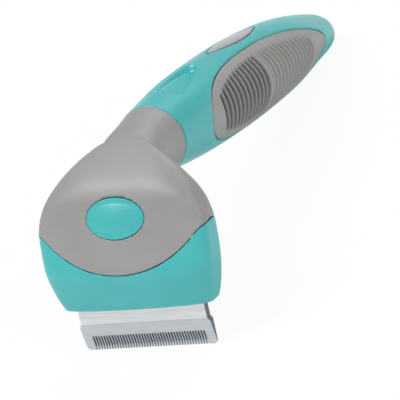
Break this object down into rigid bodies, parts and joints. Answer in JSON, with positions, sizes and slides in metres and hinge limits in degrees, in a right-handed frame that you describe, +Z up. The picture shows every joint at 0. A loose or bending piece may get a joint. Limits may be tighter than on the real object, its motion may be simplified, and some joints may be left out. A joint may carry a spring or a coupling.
{
  "type": "deshedding tool",
  "caption": "Rake-shaped pet deshedding tool: a fine-toothed steel comb in a release cartridge, an oval push button on a broad head, and a drooping handle with ribbed soft pads.",
  "frame": {"origin": "middle of the bounding box's floor face: the floor that the tooth tips and the underside of the handle's tail rest on", "axes": "+X across the comb, +Y from the comb back along the handle, +Z up from the floor"},
  "size_m": [0.0668, 0.2086, 0.0705],
  "materials": {
    "head_plastic": "fine satin moulded plastic, mid grey",
    "teal_plastic": "satin moulded plastic, teal",
    "grip_rubber": "soft ribbed rubber, mid grey",
    "badge_metal": "smooth anodised plate, pale lilac grey, bare",
    "blade_steel": "brushed across the width",
    "screw_steel": "bright zinc-plated steel",
    "spring_steel": "blue-grey spring steel",
    "inner_plastic": "plain moulded plastic, dark grey",
    "core_plastic": "glass-filled plastic, near black"
  },
  "bodies": {
    "handle_and_head": {"head_shell": "head_plastic", "inner_frame": "inner_plastic", "frame_screws": "screw_steel", "latch_leaf": "spring_steel", "latch_screws": "screw_steel", "button_spring": "spring_steel", "handle_spine": "core_plastic", "neck_screws": "screw_steel", "handle_sleeve": "teal_plastic", "handle_screws": "screw_steel", "grip_left": "grip_rubber", "grip_right": "grip_rubber", "badge_plate": "badge_metal"},
    "button": {"release_button": "teal_plastic"},
    "cartridge": {"cartridge_front": "teal_plastic", "cartridge_rear": "teal_plastic", "cartridge_screws": "screw_steel", "cartridge_carrier": "inner_plastic", "clamp_bar": "screw_steel", "blade_screws": "screw_steel", "blade": "blade_steel"}
  },
  "joints": [
    {"name": "button_press", "type": "slide", "parent": "handle_and_head", "child": "button", "axis": [0, 0.8858, -0.464], "range_m": [0, 0.002], "stiffness_N_per_m": 900, "springref_m": -0.001, "deforming": ["button_spring", "latch_leaf"]},
    {"name": "cartridge_slide", "type": "slide", "parent": "handle_and_head", "child": "cartridge", "axis": [0, -0.224, -0.9746], "range_m": [0, 0.035]}
  ]
}
